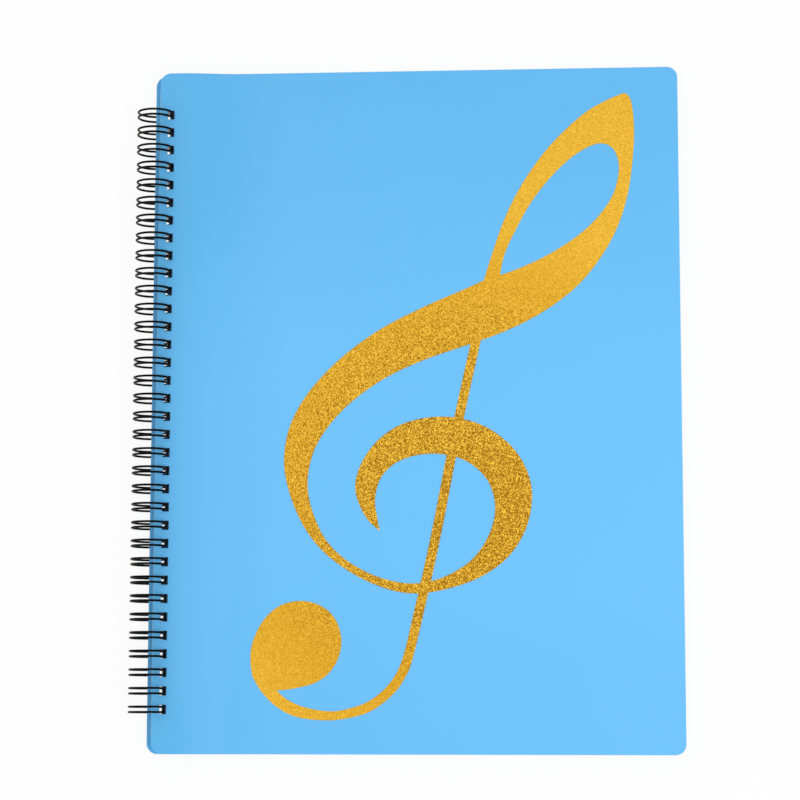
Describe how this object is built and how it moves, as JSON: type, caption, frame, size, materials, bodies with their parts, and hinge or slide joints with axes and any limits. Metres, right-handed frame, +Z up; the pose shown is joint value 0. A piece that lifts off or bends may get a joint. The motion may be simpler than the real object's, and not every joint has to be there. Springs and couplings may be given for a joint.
{
  "type": "music folder",
  "caption": "Wire-bound music folder lying closed: bendable plastic covers hinged on a twin-loop comb, clear pocket pages between them, a glitter treble clef on the front.",
  "frame": {"origin": "middle of the outline, on the surface that the closed folder lies on", "axes": "+Y along the wire towards the top of the pages, +X from the wire towards the fore-edge, +Z up through the front cover"},
  "size_m": [0.2548, 0.32, 0.017],
  "materials": {
    "blue_plastic": "translucent light blue sheet with a fine frosted grain",
    "clear_film": "clear pocket film, milky as a block",
    "black_wire": "black coated steel wire, satin",
    "gold_glitter": "gold glitter flakes under clear film"
  },
  "bodies": {
    "bound_block": {"binding_wire": "black_wire", "pocket_pages": "clear_film"},
    "front": {"front_cover": "blue_plastic", "treble_clef": "gold_glitter"},
    "back": {"back_cover": "blue_plastic"}
  },
  "joints": [
    {"name": "front_cover_turn", "type": "hinge", "parent": "bound_block", "child": "front", "pos_m": [-0.11891, 0, 0.00855], "axis": [0, -1, 0], "range_deg": [0, 180]},
    {"name": "back_cover_turn", "type": "hinge", "parent": "bound_block", "child": "back", "pos_m": [-0.11891, 0, 0.00855], "axis": [0, -1, 0], "range_deg": [-180, 0]}
  ]
}
